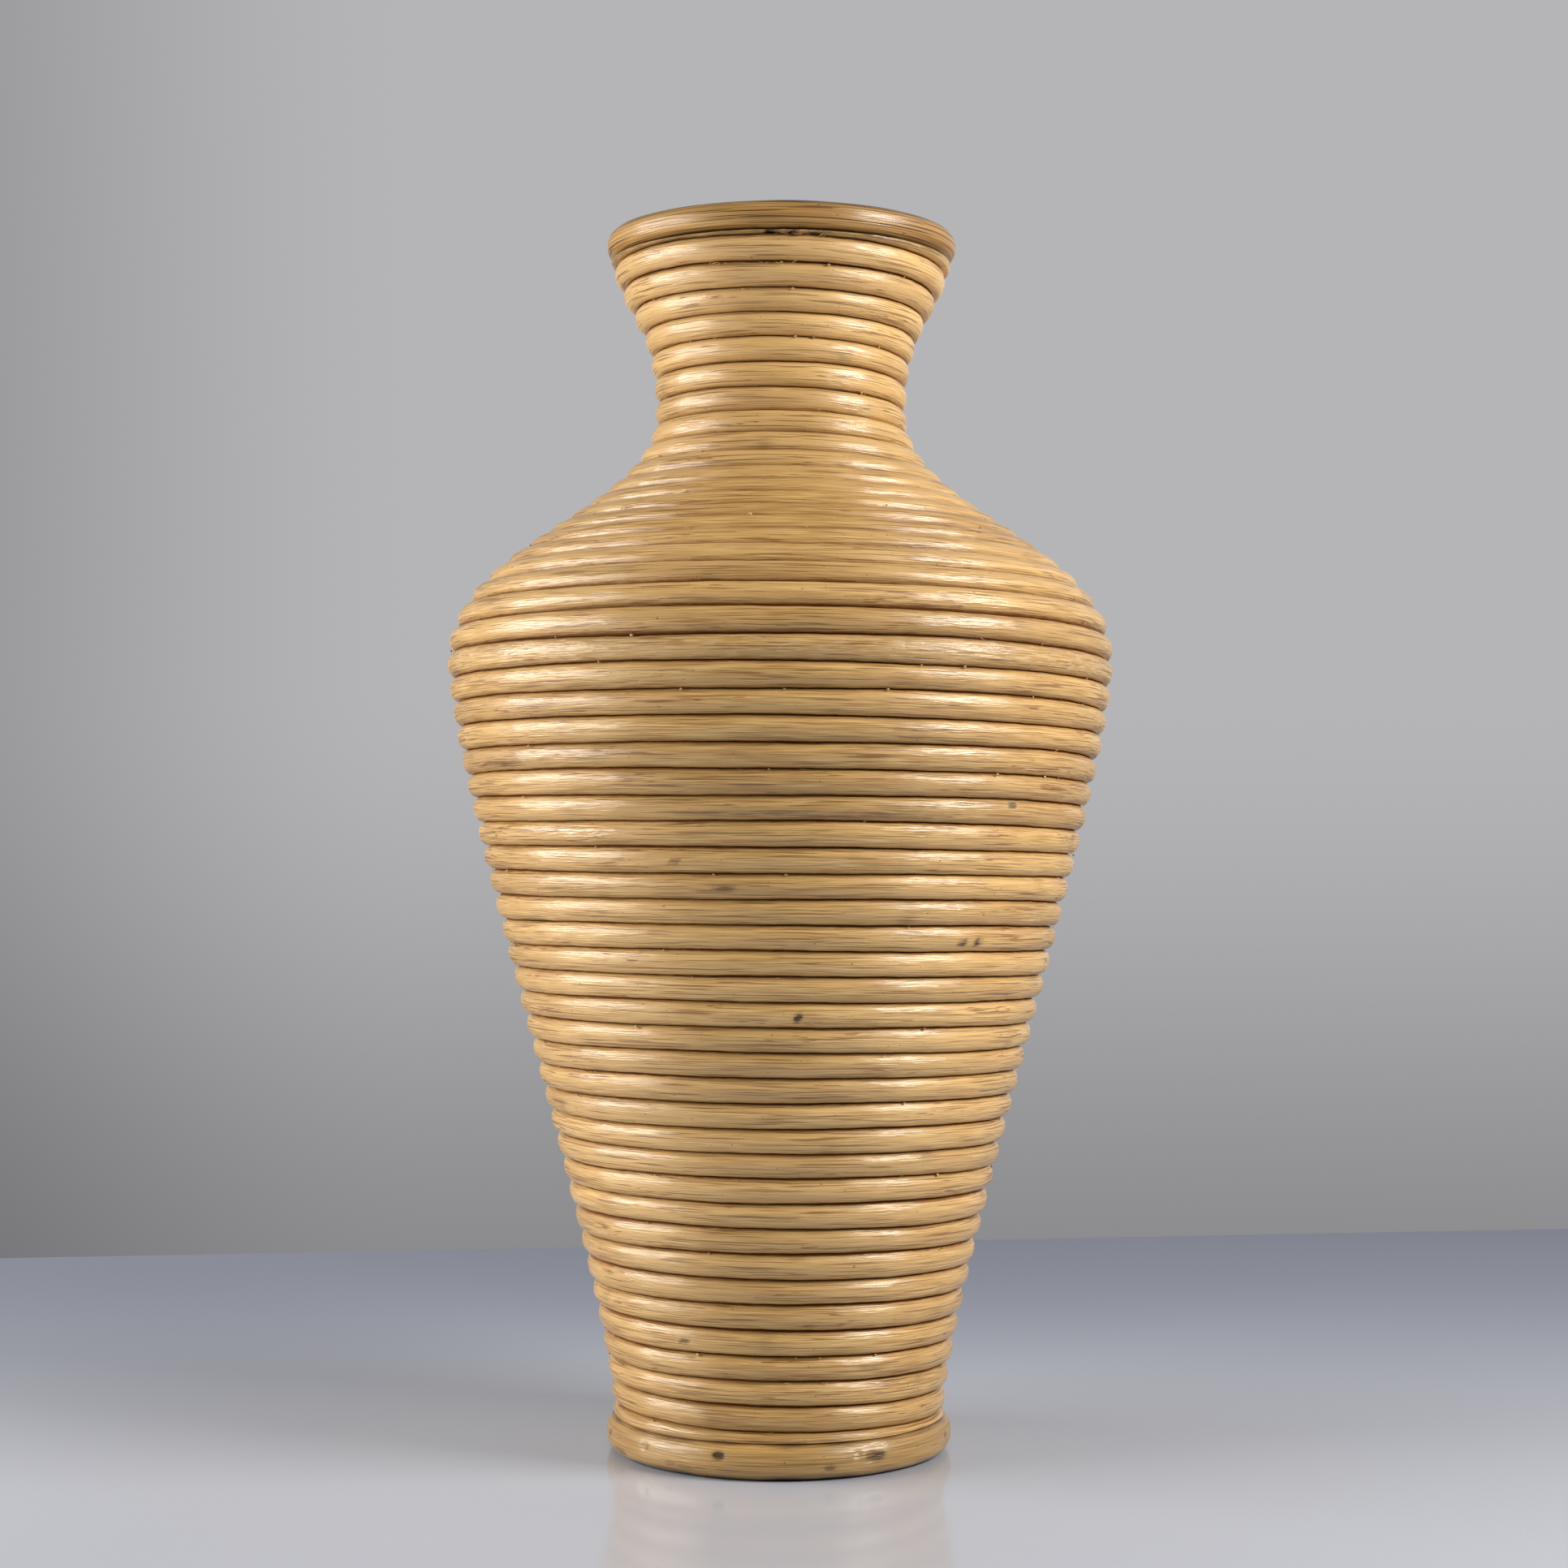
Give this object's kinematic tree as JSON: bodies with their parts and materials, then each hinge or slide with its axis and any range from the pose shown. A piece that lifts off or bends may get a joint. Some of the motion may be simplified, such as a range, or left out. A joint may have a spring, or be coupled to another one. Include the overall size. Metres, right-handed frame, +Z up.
{
  "type": "coiled cane floor vase",
  "caption": "Tall vase wound from a spiral of peeled cane, with a flared rim, narrow neck, round shoulder and a body that tapers to a nailed foot ring.",
  "frame": {"origin": "the floor point under the centre of the vase, on the foot ring's underside", "axes": "+Z up along the vase's axis, -Y towards the front that the picture shows, +X to the right of that view"},
  "size_m": [0.2786, 0.2784, 0.508],
  "materials": {
    "peeled_cane": "satin varnish over peeled rattan",
    "rim_pole": "satin varnish over rattan pole with dark streaks",
    "foot_pole": "satin varnish over rattan pole, stained below",
    "plywood": "raw plywood",
    "nail_steel": "dull wire nail under dark filler"
  },
  "bodies": {
    "root": {"rim_ring": "rim_pole", "foot_ring": "foot_pole", "base_disc": "plywood", "foot_nail_01": "nail_steel", "foot_nail_02": "nail_steel", "foot_nail_03": "nail_steel", "foot_nail_04": "nail_steel", "foot_nail_05": "nail_steel", "foot_nail_06": "nail_steel", "foot_nail_07": "nail_steel", "foot_nail_08": "nail_steel", "foot_nail_09": "nail_steel", "foot_nail_10": "nail_steel", "cane_01": "peeled_cane", "cane_02": "peeled_cane", "cane_03": "peeled_cane", "cane_04": "peeled_cane", "cane_05": "peeled_cane", "cane_06": "peeled_cane", "cane_07": "peeled_cane", "cane_08": "peeled_cane", "cane_09": "peeled_cane", "cane_10": "peeled_cane", "cane_11": "peeled_cane", "cane_12": "peeled_cane", "cane_13": "peeled_cane", "cane_14": "peeled_cane"}
  },
  "joints": []
}
